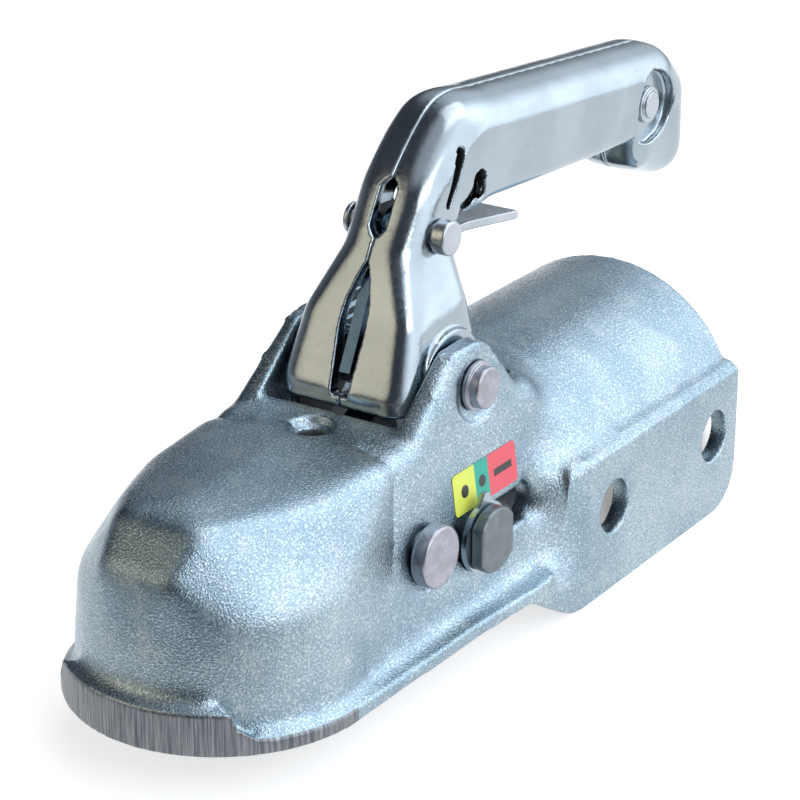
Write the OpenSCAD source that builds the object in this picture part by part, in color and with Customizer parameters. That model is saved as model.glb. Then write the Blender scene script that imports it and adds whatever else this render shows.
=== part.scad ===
// Coupling head for a trailer drawbar, closed and locked.
// The origin is the centre of the towing ball. +X points to the nose, +Y to the side with the
// indicator, +Z up. All sizes are in millimetres.

/* [Ball socket] */
// Diameter of the towing ball
ball_d = 50; // [49:0.5:51]
// Room between the ball and its socket
ball_gap = 0.3; // [0.2:0.1:0.6]
// Thickness of the dome round the ball
dome_wall = 8.2; // [7.5:0.1:9]
// Depth of the rim below the ball centre
rim_drop = 11.4; // [10.5:0.1:12.5]
// Radius of the machined nose
rim_r = 38.2; // [37.6:0.1:39]
// Height of the band round the nose
band_h = 11; // [9:0.5:12]
// Thickness of the flange along the sides
flange_t = 3.8; // [3:0.1:5]
// Height of the roof above the ball centre
roof_z = 40.2; // [39.5:0.1:41]

/* [Body] */
// Half width of the body at the height of the lever pivot
ear_half = 25.9; // [25.4:0.1:26.6]
// Slope of the side walls in degrees
draft = 8; // [6:0.5:9]
// Wall of the casting
wall = 6; // [5:0.25:7]
// Where the flat side walls begin, ahead of the jaw bolt
side_lead = 14; // [12:0.5:16]
// Thickness of each ear
ear_wall = 6; // [5.8:0.1:6.6]
// Radius of the ears round the lever pivot
ear_r = 10.8; // [10:0.1:12]
// Bore of the lock hole in the roof
lock_d = 6.6; // [5:0.2:8]
// Diameter of the sunk rim of the lock hole
lock_rim_d = 11.2; // [10:0.2:13]
// Distance of the lock hole behind the ball centre
lock_back = 35.2; // [34:0.2:37]
// Distance from the ball centre to the neck
neck_back = 88.2; // [87.6:0.1:90]

/* [Drawbar end] */
// Diameter of the drawbar tube
tube_d = 70; // [69:0.5:71]
// Room between tube and channel
tube_gap = 0.2; // [0.1:0.1:0.5]
// Wall of the arch over the tube
arch_wall = 4.5; // [4:0.25:6]
// Wall of the side plates
plate_wall = 5.2; // [4.5:0.1:7]
// Height of the side plates above the tube axis
plate_up = 17.7; // [15:0.1:20]
// Depth of the side plates below the tube axis
plate_down = 23.2; // [20:0.1:25]
// Distance from the ball centre to the front bolt hole
bolt_back = 111.6; // [110:0.2:114]
// Distance between the two bolt holes
bolt_pitch = 54; // [50:1:58]
// Diameter of the bolt holes
bolt_d = 14; // [12:0.5:16]
// Length of the channel behind the rear bolt hole
tail = 13; // [12:0.5:18]

/* [Lever] */
// Distance of the lever pivot behind the ball centre
pivot_back = 67.4; // [67:0.1:68.5]
// Height of the lever pivot above the ball centre
pivot_z = 45; // [44.6:0.1:45.8]
// Diameter of the lever pivot pin
pivot_d = 10.5; // [9:0.1:11]
// Opening angle of the lever
lift = 55; // [45:1:58]
// Distance from the lever pivot to the link pin
link_arm = 20; // [18:0.5:21]
// Diameter of the link pin
link_d = 8; // [7:0.5:9]
// Sheet of the pressed lever
sheet = 2.5; // [2:0.1:3]
// Room between the foot of the lever and each ear
lever_room = 0.7; // [0.5:0.1:1.5]
// Half width of the grip
grip_half = 12.6; // [12:0.1:13.5]
// Distance from the pivot to the far end of the grip
grip_reach = 134; // [124:1:140]

/* [Safety catch] */
// Distance of the catch pin behind the lever pivot
catch_back = 4.6; // [4:0.1:6]
// Height of the catch pin above the lever pivot
catch_up = 33.7; // [33:0.1:35]
// Diameter of the catch pin
catch_d = 5.6; // [5:0.1:6.5]
// Half width of the finger tab
tab_half = 7; // [6:0.1:8]
// Thickness of the finger tab
tab_t = 2.4; // [2:0.1:3]
// Thickness of the blade
blade_t = 3; // [2:0.1:3.5]

/* [Jaw] */
// Distance of the jaw bolt behind the ball centre
jaw_back = 38.6; // [38.2:0.1:39.4]
// Height of the jaw bolt above the ball centre
jaw_z = 13.2; // [12.8:0.1:13.8]
// Diameter of the jaw bolt
jaw_bolt_d = 9.5; // [9:0.1:10]
// Outer diameter of the jaw bush
bush_d = 12.5; // [12:0.1:13]
// Radius of the jaw hub
hub_r = 9; // [8.4:0.1:9.2]
// Thickness of the jaw cup
cup_t = 6; // [5:0.1:6.4]
// Room between the jaw and the inside of each side wall
jaw_room = 3.4; // [2.5:0.1:5]
// Diameter of the bolt heads
head_d = 15.4; // [14.5:0.1:16]
// Height of the jaw bolt head
head_h = 4.3; // [3.5:0.1:5]

/* [Slider and indicator] */
// Distance of the indicator bolt behind the ball centre
ind_back = 59.8; // [59.4:0.1:60.4]
// Height of the slot above the ball centre
slot_z = 10; // [9.6:0.1:10.4]
// Height of the slot
slot_h = 8.8; // [8.6:0.1:9.6]
// Diameter of the indicator bolt
ind_d = 8; // [7.5:0.1:8.2]
// Room between the slider and the inside of each side wall
slider_room = 4.8; // [3:0.1:6]
// Outer diameter of the main spring
spring_d = 10.6; // [10:0.1:11]
// Wire of the main spring
spring_wire = 1.8; // [1.5:0.1:2]
// Turns of the main spring
spring_turns = 11; // [9:1:13]

/* [Hidden] */
$fn = 64;
// Room between pieces that slide past each other
slip = 0.3;
// Radial room of a running fit
run = 0.05;
// Overshoot of a cut
cut = 1;
socket_r = ball_d / 2 + ball_gap;
dome_r = socket_r + dome_wall;
flange_half = rim_r + 0.5;
tube_r = tube_d / 2 + tube_gap;
arch_r = tube_r + arch_wall;
plate_half = tube_r + plate_wall;
rear_x = -bolt_back - bolt_pitch - tail;
pivot_x = -pivot_back;
jaw_x = -jaw_back;
ind_x = -ind_back;
// The link pin swings as far ahead of the pivot as behind it, so that the slider keeps step
link_x = pivot_x + link_arm * sin(lift / 2);
link_z = pivot_z - link_arm * cos(lift / 2);
travel = 2 * link_arm * sin(lift / 2);
catch_x = pivot_x - catch_back;
catch_z = pivot_z + catch_up;
side_x = jaw_x + side_lead;
neck_x = -neck_back;
cavity_x = neck_x - 15;
// Height at which the upright wall of the dome ends
shoulder_z = 19.5;
// Half width of the side wall and of the hollow behind it at a height
function wall_y(z) = ear_half + (pivot_z - z) * tan(draft);
function hollow_y(z) = wall_y(z) - wall;
ear_gap = 2 * (ear_half - ear_wall);
foot_half = ear_gap / 2 - lever_room;
jaw_half = hollow_y(jaw_z) - jaw_room;
slider_half = hollow_y(slot_z + 7) - slider_room;
// Seat of the jaw bolt's head and nut
jaw_seat = wall_y(jaw_z) + 0.4;
slot_front = ind_x;
slot_rear = ind_x - travel - slot_h / 2;
// How far the pivot pin stands out of the ears
pin_stick = 2.4;
washer_y = wall_y(slot_z - 9.2) + slip;
// The lever is slimmer between its foot and its grip
neck_half = grip_half - 1.3;
// Centres of the round corners of the lever along its run: front or top corner, rear or bottom
// corner, half width and corner radius
foot_c = [[pivot_x + 14.4, pivot_z - 4.4], [pivot_x - 9.9, pivot_z - 4.4], foot_half, 6.5];
shin_c = [[pivot_x + 9, pivot_z + 13.6], [pivot_x - 7.8, pivot_z + 15], foot_half - 2.2, 6];
neck_c = [[pivot_x + 0.4, pivot_z + 27.4], [pivot_x - 8.2, pivot_z + 28.8], neck_half, 8];
elbow_c = [[pivot_x - 9, pivot_z + 42.4], [pivot_x - 12.8, pivot_z + 42], neck_half + 0.3, 8];
start_c = [[pivot_x - 23.5, pivot_z + 52.6], [pivot_x - 28, pivot_z + 47.4], grip_half, 10];
end_c = [[pivot_x - grip_reach + 17, pivot_z + 44.6], [pivot_x - grip_reach + 12, pivot_z + 40],
    grip_half, 10];
rivet_x = pivot_x - grip_reach + 23.6;
rivet_z = pivot_z + 40;
slider_back = ind_x - 9.4;
nose_x = -socket_r - cup_t - 1;
spring_z = -3.6;
pocket_x = -41;
seat_x = neck_x - 3;

// A ring or disc about an axis along Y, from y0 to y1
module disc_y(x, z, r, y0, y1) {
    translate([x, y1, z]) rotate([90, 0, 0]) cylinder(r = r, h = y1 - y0);
}

// A flat shape in the XZ plane drawn out along Y, from y0 to y1
module plate_y(y0, y1) {
    translate([0, y1, 0]) rotate([90, 0, 0]) linear_extrude(y1 - y0) children();
}

// A section in the YZ plane drawn out along X, from x0 to x1
module bar_x(x0, x1) {
    translate([x0, 0, 0]) rotate([90, 0, 90]) linear_extrude(x1 - x0) children();
}

// A bar with round ends in a flat sketch
module slot_2d(a, b, r) {
    d = b - a;
    len = norm(d);
    translate(a) circle(r);
    translate(b) circle(r);
    translate(a) rotate(atan2(d[1], d[0])) translate([0, -r]) square([len, 2 * r]);
}

// A narrow bar with ends of a few flats, for slots in sheet
module slim_slot_2d(a, b, r) {
    dir = atan2(b[1] - a[1], b[0] - a[0]);
    polygon([for (p = [[b, dir - 90], [a, dir + 90]]) for (i = [0 : 6])
        p[0] + r * [cos(p[1] + 30 * i), sin(p[1] + 30 * i)]]);
}

// Two round bosses of different size joined close to their outer tangents
module boss_link_2d(a, ra, b, rb) {
    d = b - a;
    len = norm(d);
    dir = atan2(d[1], d[0]);
    lean = acos((ra - rb) / len);
    translate(a) circle(ra);
    translate(b) circle(rb);
    polygon([for (p = [[a, ra, lean], [b, rb, lean], [b, rb, -lean], [a, ra, -lean]])
        p[0] + (p[1] - 0.03) * [cos(dir + p[2]), sin(dir + p[2])]]);
}

module ball_at(p, r) {
    translate(p) sphere(r, $fn = 20);
}

// The round foot of the dome: flange disc, concave fillet and wall in one turned shape
module dome_foot() {
    top = flange_t - rim_drop;
    rotate_extrude() {
        translate([0, -rim_drop]) square([rim_r, flange_t]);
        polygon([[0, top - 1], [dome_r + 1.3, top - 1], [dome_r + 0.9, 3], [dome_r + 0.1, 12],
            [dome_r - 0.4, shoulder_z - 1.5], [0, shoulder_z - 1.5]]);
        fillet_2d(dome_r + 1.1, top, 3.6);
    }
}

// The dome above its foot: the wall leans in to a narrow roof that runs back to the lever
module dome_top() {
    edge = 4;
    roof = roof_z - edge;
    hull() {
        rotate_extrude($fn = 48) {
            translate([0, -8]) square([dome_r - 0.2, 15]);
            translate([dome_r - 7.2, shoulder_z - 3.5]) circle(7, $fn = 20);
        }
        for (s = [-1, 1]) {
            // Flat front, and the roof edge that widens to the rear
            ball_at([dome_r - 1.2 - edge, s * 8, roof - 9.8], edge);
            ball_at([21, s * 9.5, roof - 2], edge);
            ball_at([13.5, s * 14.2, roof - 2.2], edge);
            ball_at([4.5, s * 18.2, roof - 2.7], edge);
            ball_at([-7, s * 22.2, roof - 2.8], edge);
            ball_at([side_x - 3.5, s * 23.4, roof - 1.6], edge);
            ball_at([side_x + 4.6, s * (wall_y(-6) - 2.9), -6], 2.6);
            ball_at([side_x - 1, s * (wall_y(20) - 2.9), 20], 2.6);
        }
        ball_at([14, 0, roof - 0.6], edge);
        ball_at([side_x - 10, 0, roof], edge);
    }
}

// The body behind the dome, with leaning side walls
module body_block() {
    edge = 4;
    low = 1 - rim_drop;
    top = roof_z - 0.25 - edge;
    hull() {
        for (s = [-1, 1]) {
            for (x = [side_x + 4.5, neck_x - 7])
                translate([x, s * (wall_y(low) - 2), low]) cylinder(r = 2, h = 1, $fn = 16);
            ball_at([side_x - 3, s * (wall_y(16) - 3), 16], 3);
            ball_at([side_x - 10, s * (wall_y(top) - edge), top - 0.8], edge);
            ball_at([neck_x - 5, s * (wall_y(top) - edge), top - 0.8], edge);
        }
        ball_at([side_x - 14, 0, top], edge);
        ball_at([neck_x - 5, 0, top], edge);
    }
}

// Both ears in one block, which the lever gap then parts
module ear_block() {
    round = 1.6;
    foot = roof_z - 8;
    hull() {
        for (s = [-1, 1]) {
            translate([pivot_x, s * (wall_y(pivot_z + 3) - round), pivot_z]) rotate([90, 0, 0])
                rotate_extrude($fn = 40) translate([ear_r - round, 0]) circle(round, $fn = 12);
            ball_at([pivot_x + 8.4, s * (wall_y(pivot_z + 9) - round), pivot_z + 8.6], round);
            ball_at([pivot_x - 14.5, s * (wall_y(pivot_z) - round), pivot_z], round);
            for (x = [jaw_x + 5, neck_x - 1])
                ball_at([x, s * (wall_y(foot) - round - 0.4), foot], round);
        }
    }
}

// The neck that widens from the body to the arch
module neck() {
    hull() {
        bar_x(cavity_x - 2.5, cavity_x - 1.5) intersection() {
            circle(arch_r - 0.2, $fn = 48);
            translate([-arch_r, 2 - rim_drop]) square(2 * arch_r);
        }
        for (s = [-1, 1]) {
            translate([neck_x - 5, s * (wall_y(0) - 5.5), 1.5 - rim_drop])
                cylinder(r = 4, h = 1, $fn = 16);
            ball_at([neck_x - 5, s * (wall_y(roof_z) - 9.5), roof_z - 10.5], 8);
        }
    }
}

// The arch and the side plates that hold the drawbar
module drawbar_end() {
    front = neck_x - 2.8;
    low = -plate_down;
    ledge = flange_t - rim_drop;
    sweep = 11;
    bar_x(rear_x, cavity_x - 2) difference() {
        circle(arch_r);
        translate([-arch_r - cut, -2 * arch_r]) square([2 * arch_r + 2 * cut, 2 * arch_r]);
    }
    difference() {
        // Each plate sweeps forward at its foot and runs into the flange
        plate_y(-plate_half, plate_half) difference() {
            polygon([[rear_x, low], [front - 7, low], [front - 2, low + 0.4], [front + 1.5, low + 1.6],
                [front + 5.7, low + 3.8], [front + 19, -rim_drop], [front + 19, ledge],
                [front + 12.5, ledge], [front + 12.5, ledge + sweep], [front + 1.5, ledge + sweep],
                [front - 0.3, plate_up], [rear_x, plate_up]]);
            translate([front + 12.5, ledge + sweep]) circle(sweep);
            translate([rear_x, low]) corner_2d(12);
        }
        // Room for the walls of the body between the two skirts
        translate([cavity_x - cut, -tube_r, low - cut])
            cube([front + 22 - cavity_x, 2 * tube_r, plate_down - rim_drop + cut]);
        // Pocket between each plate and the side wall
        for (s = [0, 1]) mirror([0, s, 0]) translate([0, 0, -2])
            linear_extrude(plate_up + 2 + cut)
                polygon([[front - 3.5, 30.1], [front + 0.4, 36], [front + 4, 36], [front + 4, 30.1]]);
        // Concave fillet along the ledge above each plate
        for (s = [-1, 1])
            translate([rear_x - cut, s * (arch_r + 1.2), plate_up + 1.6]) rotate([0, 90, 0])
                cylinder(r = 3.4, h = front - rear_x + 2 * cut);
    }
}

// What rounding takes off a square corner at the origin
module corner_2d(r) {
    difference() {
        translate([-cut, -cut]) square(r + cut);
        translate([r, r]) circle(r);
    }
}

// The flange along both sides, with the taller band that runs round the nose
module flange() {
    top = flange_t - rim_drop;
    band = band_h - rim_drop;
    translate([0, 0, -rim_drop]) linear_extrude(flange_t)
        polygon([[0, rim_r - 0.1], [-48, flange_half], [-72, plate_half - 0.3],
            [neck_x, plate_half - 0.3], [neck_x, 0.3 - plate_half], [-72, 0.3 - plate_half],
            [-48, -flange_half], [0, 0.1 - rim_r]]);
    for (s = [-1, 1])
        bar_x(neck_x, 0) mirror([s > 0 ? 0 : 1, 0]) fillet_2d(wall_y(top) - 0.4, top, 4.4);
    intersection() {
        rotate_extrude() {
            translate([dome_r - 3, -rim_drop]) square([rim_r - dome_r + 3, band_h]);
            fillet_2d(dome_r + 0.9, band, 3.7);
        }
        plate_y(-rim_r - cut, rim_r + cut)
            polygon([[23, -rim_drop - cut], [23, top + 0.2], [26, top + 0.9], [28, top + 3],
                [31, band + 6], [rim_r + cut, band + 6], [rim_r + cut, -rim_drop - cut]]);
    }
}

// A concave fillet that stands on height z against a wall at x
module fillet_2d(x, z, r) {
    difference() {
        translate([x - 2, z - 0.5]) square([r + 2, r + 0.5]);
        translate([x + r, z + r]) circle(r);
    }
}

// Section of the hollow or of a plate that fills it, between two heights
module hollow_2d(low, high) {
    polygon([[-hollow_y(low), low], [hollow_y(low), low], [hollow_y(high), high],
        [-hollow_y(high), high]]);
}

// The hollow behind the ball, where the jaw and the slider move
module hollow() {
    low = -plate_down - cut;
    high = roof_z - wall;
    bar_x(neck_x, side_x - 3) hollow_2d(low, high);
    bar_x(cavity_x - 0.5, neck_x + 0.5) intersection() {
        hollow_2d(low, high);
        circle(tube_r - 1);
    }
    // Ahead of the side walls it is only as wide as the jaw
    translate([side_x - 4, -jaw_half - 1, low]) cube([-side_x - 6.5, 2 * jaw_half + 2, high - low]);
}

module housing() {
    color("lightsteelblue") difference() {
        union() {
            dome_foot();
            dome_top();
            body_block();
            ear_block();
            neck();
            drawbar_end();
            flange();
        }
        // Socket and mouth for the ball
        sphere(socket_r);
        translate([0, 0, -rim_drop - 14]) cylinder(r = socket_r, h = rim_drop + 14);
        translate([0, 0, -rim_drop - 0.01]) cylinder(r1 = socket_r + 2.5, r2 = socket_r, h = 2.5);
        hollow();
        // Channel for the drawbar tube
        translate([rear_x - cut, 0, 0]) rotate([0, 90, 0])
            cylinder(r = tube_r, h = cavity_x - rear_x + cut);
        translate([rear_x - cut, -tube_r, -plate_down - cut])
            cube([cavity_x - rear_x + cut, 2 * tube_r, plate_down + cut]);
        // Gap for the lever, from the front of its foot to the neck
        translate([neck_x - 4, -ear_gap / 2, slot_z + 12])
            cube([pivot_x + 22.2 - neck_x + 4, ear_gap, 60]);
        // Between the ears the roof runs level up to the lever
        translate([pivot_x + 21, -ear_gap / 2, roof_z + 0.05]) cube([30, ear_gap, 20]);
        disc_y(pivot_x, pivot_z, pivot_d / 2 + run, -ear_half - 10, ear_half + 10);
        // Spot faces for the ends of the pivot pin and of the jaw bolt
        for (s = [0, 1]) mirror([0, s, 0]) {
            disc_y(pivot_x, pivot_z, 9, ear_half - 0.5, ear_half + 10);
            disc_y(jaw_x, jaw_z, head_d / 2 + 1.2, jaw_seat, jaw_seat + 10);
        }
        disc_y(jaw_x, jaw_z, jaw_bolt_d / 2 + run, -50, 50);
        plate_y(-36, 36) slot_2d([slot_front, slot_z], [slot_rear, slot_z], slot_h / 2);
        translate([-lock_back, 0, 20]) cylinder(d = lock_d, h = 40);
        translate([-lock_back, 0, roof_z - 2.4]) cylinder(d = lock_rim_d, h = 10);
        for (x = [-bolt_back, -bolt_back - bolt_pitch])
            disc_y(x, 0, bolt_d / 2, -plate_half - cut, plate_half + cut);
    }
}

// The pin that carries the lever in the ears, with a ring at its far end
module lever_pivot_pin() {
    color("slategray") {
        disc_y(pivot_x, pivot_z, pivot_d / 2, -ear_half - pin_stick, ear_half + pin_stick + 1.2);
        disc_y(pivot_x, pivot_z, pivot_d / 2 + 0.9, ear_half - 0.5, ear_half + 0.8);
    }
}

module pivot_ring() {
    color("dimgray")
        ring_y(pivot_x, pivot_z, pivot_d / 2 + 2.4, pivot_d / 2, -ear_half - 0.7, -ear_half + 0.5);
}

module ring_y(x, z, r, bore_r, y0, y1) {
    difference() {
        disc_y(x, z, r, y0, y1);
        disc_y(x, z, bore_r, y0 - cut, y1 + cut);
    }
}

// The tube on the pivot pin that keeps the two lever halves apart
module pivot_spacer() {
    color("silver") ring_y(pivot_x, pivot_z, 7, pivot_d / 2 + run, -foot_half + sheet, foot_half - sheet);
}

module lever_corner(c) {
    for (p = [c[0], c[1]]) for (s = [-1, 1])
        translate([p[0], s * (c[2] - c[3]), p[1]]) sphere(c[3], $fn = 24);
}

module lever_outside() {
    hull() {
        for (p = [foot_c[0], foot_c[1]]) for (s = [-1, 1])
            translate([p[0], s * (foot_c[2] - foot_c[3]), p[1]]) cylinder(r = foot_c[3], h = 4, $fn = 24);
        lever_corner(shin_c);
    }
    hull() {
        lever_corner(shin_c);
        lever_corner(neck_c);
    }
    hull() {
        lever_corner(neck_c);
        lever_corner(elbow_c);
    }
    hull() {
        lever_corner(elbow_c);
        lever_corner(start_c);
    }
    hull() {
        lever_corner(start_c);
        lever_corner(end_c);
    }
    // The nub under the end of the grip, flush with it
    hull() for (s = [-1, 1]) {
        translate([end_c[1][0] - 1.5, s * 3.4, end_c[1][1] - 14.8]) sphere(8.6, $fn = 24);
        translate([end_c[1][0] - 1.5, s * 3.4, end_c[1][1]]) sphere(8.6, $fn = 24);
        translate([end_c[1][0] + 11, s * 3.8, end_c[1][1] - 11.6]) sphere(7.6, $fn = 24);
        translate([end_c[1][0] + 14, s * 3.8, end_c[1][1]]) sphere(7.6, $fn = 24);
    }
}

// The hollow between the two pressed halves
module lever_inside() {
    deep = foot_half - sheet;
    mid = shin_c[2] - sheet - 0.5;
    slim = neck_half - sheet - 0.5;
    foot = pivot_z - 40;
    plate_y(-deep, deep) polygon([[pivot_x + 17.2, foot], [pivot_x + 17.2, pivot_z - 1.5],
        [pivot_x + 15.6, pivot_z + 1.5], [pivot_x + 12.4, pivot_z + 6], [pivot_x + 8, pivot_z + 8],
        [pivot_x - 20, pivot_z + 8], [pivot_x - 20, foot]]);
    plate_y(-mid, mid) polygon([[pivot_x + 14.4, pivot_z + 5], [pivot_x + 11.8, pivot_z + 13],
        [pivot_x - 20, pivot_z + 13], [pivot_x - 20, pivot_z + 5]]);
    plate_y(3 - mid, mid - 3) polygon([[pivot_x + 12.2, pivot_z + 12], [pivot_x + 10, pivot_z + 18],
        [pivot_x - 20, pivot_z + 18], [pivot_x - 20, pivot_z + 12]]);
    plate_y(-slim, slim) polygon([[pivot_x + 11.2, pivot_z + 16], [pivot_x + 4.4, pivot_z + 30],
        [pivot_x - 5, pivot_z + 46.5], [pivot_x - 21, pivot_z + 57.2], [pivot_x - 96, pivot_z + 50.8],
        [pivot_x - 96, pivot_z + 36.9], [pivot_x - 28, pivot_z + 42.6], [pivot_x - 20, pivot_z + 36.8],
        [pivot_x - 20, pivot_z + 16]]);
}

// One pressed half on the side that s names, with its cheek on the pivot and the link pin
module handle_half(s) {
    deep = foot_half - sheet;
    difference() {
        union() {
            difference() {
                intersection() {
                    lever_outside();
                    translate([pivot_x - 200, s > 0 ? 0.02 : -30.02, pivot_z - 10]) cube([300, 30, 100]);
                }
                lever_inside();
            }
            plate_y(s > 0 ? deep : -foot_half, s > 0 ? foot_half : -deep)
                boss_link_2d([pivot_x, pivot_z], 12.5, [link_x, link_z], 6.4);
        }
        disc_y(pivot_x, pivot_z, pivot_d / 2 + run, -30, 30);
        disc_y(link_x, link_z, link_d / 2, -30, 30);
        disc_y(catch_x, catch_z, catch_d / 2, -30, 30);
        // Round recess for the rivet at the end of the grip
        disc_y(rivet_x, rivet_z, 3, -30, 30);
        disc_y(rivet_x, rivet_z, 9.6, s > 0 ? grip_half - 3.4 : -30, s > 0 ? 30 : -grip_half + 3.4);
        // Drop-shaped slot and window in the front, on the seam
        bar_x(pivot_x + 2, pivot_x + 30) {
            polygon([[-2.4, pivot_z - 1.8], [2.4, pivot_z - 1.8], [3.7, pivot_z + 14],
                [3.2, pivot_z + 20], [0.5, pivot_z + 28.4], [-0.5, pivot_z + 28.4],
                [-3.2, pivot_z + 20], [-3.7, pivot_z + 14]]);
        }
        bar_x(pivot_x - 8, pivot_x + 30)
            polygon([[-0.6, pivot_z + 34], [0.6, pivot_z + 34], [2.4, pivot_z + 36],
                [2.4, pivot_z + 44.6], [0.6, pivot_z + 46.6], [-0.6, pivot_z + 46.6],
                [-2.4, pivot_z + 44.6], [-2.4, pivot_z + 36]]);
        // Narrow slot and keyhole in the side
        plate_y(s > 0 ? 6 : -30, s > 0 ? 30 : -6) {
            slim_slot_2d([pivot_x - 15.5, pivot_z + 51.6], [pivot_x - 9.5, pivot_z + 39.8], 0.9);
            translate([pivot_x - 22.8, pivot_z + 42.9]) circle(2.6);
            slim_slot_2d([pivot_x - 22.8, pivot_z + 42.9], [pivot_x - 17.1, pivot_z + 37.6], 1.1);
        }
    }
}

module handle_shell_left() {
    color("silver") handle_half(1);
}

module handle_shell_right() {
    color("silver") handle_half(-1);
}

// The rivet that holds the two halves together at the end of the grip
module end_rivet() {
    face = grip_half - 3.4;
    color("gainsboro") {
        disc_y(rivet_x, rivet_z, 3, -face - 0.5, face + 0.5);
        for (s = [0, 1]) mirror([0, s, 0]) {
            disc_y(rivet_x, rivet_z, 5, face, face + 1.2);
            disc_y(rivet_x, rivet_z, 3.6, face + 1.2, face + 2);
        }
    }
}

module link_pin() {
    color("dimgray") disc_y(link_x, link_z, link_d / 2, -foot_half - 0.4, foot_half + 0.4);
}

// The pin of the safety catch, with a flat head on the side of the indicator
module catch_pin() {
    side = neck_half + 0.3;
    color("gainsboro") {
        disc_y(catch_x, catch_z, catch_d / 2, -side - 1, side + 4.2);
        disc_y(catch_x, catch_z, catch_d / 2 + 1.5, side + 0.3, side + 4.2);
        disc_y(catch_x, catch_z, catch_d / 2 + 1.2, -side - 2, -side - 0.5);
    }
}

// The torsion spring of the catch, wound round its pin
module catch_spring() {
    color("dimgray") for (i = [0 : 2])
        translate([catch_x, 5.1 + 1.05 * i, catch_z]) rotate([90, 0, 0])
            rotate_extrude() translate([catch_d / 2 + 0.68, 0]) circle(0.6, $fn = 16);
}

// The finger tab and its hub on the catch pin
module latch_trigger() {
    root = [catch_x - 15, catch_z - 4];
    knee = [catch_x - 21, catch_z - 4.3];
    tip = [catch_x - 43.5, catch_z - 7.8];
    color("gainsboro") {
        difference() {
            union() {
                disc_y(catch_x, catch_z, 4.6, blade_t / 2, 4.4);
                plate_y(blade_t / 2, 4.4) slim_slot_2d([catch_x, catch_z], root, 1.7);
            }
            disc_y(catch_x, catch_z, catch_d / 2 + run, -20, 20);
        }
        plate_y(-tab_half, tab_half) {
            slim_slot_2d(root, knee, tab_t / 2);
            slim_slot_2d(knee, tip, tab_t / 2);
        }
    }
}

// The dark blade behind the slot in the front of the lever
module lock_blade() {
    color("darkslategray") difference() {
        union() {
            disc_y(catch_x, catch_z, 5.2, -blade_t / 2, blade_t / 2);
            plate_y(-blade_t / 2, blade_t / 2)
                polygon([[catch_x - 3.6, catch_z - 3], [catch_x + 4, catch_z + 2.6],
                    [pivot_x + 5.4, pivot_z + 26.4], [pivot_x + 8, pivot_z + 24],
                    [pivot_x + 10.6, pivot_z + 20], [pivot_x + 13.2, pivot_z + 14],
                    [pivot_x + 18.4, pivot_z + 3.6], [pivot_x + 13, pivot_z + 3.6],
                    [pivot_x + 12.2, pivot_z + 8], [pivot_x + 4.8, pivot_z + 12.5]]);
        }
        disc_y(catch_x, catch_z, catch_d / 2 + run, -20, 20);
    }
}

// The bolt that the jaw turns on
module jaw_bolt() {
    color("slategray") {
        disc_y(jaw_x, jaw_z, jaw_bolt_d / 2, -jaw_seat - 7, jaw_seat + head_h);
        disc_y(jaw_x, jaw_z, head_d / 2, jaw_seat, jaw_seat + head_h);
    }
}

module jaw_nut() {
    color("gainsboro") difference() {
        translate([jaw_x, -jaw_seat, jaw_z]) rotate([90, 0, 0]) cylinder(d = 17, h = 6, $fn = 6);
        disc_y(jaw_x, jaw_z, jaw_bolt_d / 2, -60, 0);
    }
}

module jaw_bush() {
    color("peru") ring_y(jaw_x, jaw_z, bush_d / 2, jaw_bolt_d / 2 + run, -jaw_half, jaw_half);
}

// The jaw: a cup that grips the ball from behind, hung from its hub
module ball_jaw() {
    inner = socket_r;
    outer = socket_r + cup_t;
    color("slategray") difference() {
        union() {
            disc_y(jaw_x, jaw_z, hub_r, -jaw_half, jaw_half);
            intersection() {
                sphere(outer);
                translate([-outer, -jaw_half, -17]) cube([outer - 13.2, 2 * jaw_half, 17 + 9]);
            }
            // The web between the hub and the cup
            plate_y(-jaw_half + 3, jaw_half - 3)
                polygon([[jaw_x - 2, jaw_z + hub_r - 0.3], [-22, 12], [-22, 2], [-28, -1],
                    [jaw_x + 2, jaw_z - hub_r + 0.3]]);
        }
        sphere(inner);
        disc_y(jaw_x, jaw_z, bush_d / 2, -50, 50);
    }
}

// The slider: it backs the jaw, holds the spring and carries the indicator bolt
module slider() {
    low = -rim_drop + 0.6;
    nose_top = jaw_z - hub_r - 0.7;
    color("darkgray") difference() {
        union() {
            plate_y(-slider_half, slider_half)
                polygon([[slider_back, low], [nose_x - 2, low], [nose_x, low + 2], [nose_x, -1],
                    [nose_x - 4, nose_top], [jaw_x - hub_r - 1.2, nose_top],
                    [jaw_x - hub_r - 1.2, slot_z + 7], [slider_back, slot_z + 7]]);
        }
        disc_y(ind_x, slot_z, ind_d / 2, -50, 50);
        // Groove for the link and pocket for the spring
        translate([slider_back - cut, -4, slot_z - 6.2]) cube([80, 8, 60]);
        translate([slider_back - cut, 0, spring_z]) rotate([0, 90, 0])
            cylinder(d = spring_d + 0.8, h = pocket_x - slider_back + cut);
    }
}

// The link that the lever pulls: a plate on the indicator bolt with an upright slot
module pull_link() {
    color("slategray") difference() {
        plate_y(-4, 4) {
            slot_2d([ind_x, slot_z], [link_x, slot_z + 8], 6.2);
            slot_2d([link_x, slot_z + 8], [link_x, link_z + 0.6], 8);
        }
        disc_y(ind_x, slot_z, ind_d / 2, -20, 20);
        plate_y(-20, 20) slot_2d([link_x, link_z + 0.2],
            [link_x, link_z - link_arm * (1 - cos(lift / 2)) - 0.2], link_d / 2 + 0.45);
    }
}

// The bolt that shows how the ball is held, with two flats on its head
module indicator_bolt() {
    base = washer_y + 1.4;
    color("slategray") {
        disc_y(ind_x, slot_z, ind_d / 2, -washer_y - 2.6, base + 3.6);
        intersection() {
            disc_y(ind_x, slot_z, 8.3, base, base + 3.6);
            translate([ind_x - 6.9, 0, 0]) cube([13.8, 60, 40]);
        }
    }
}

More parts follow.
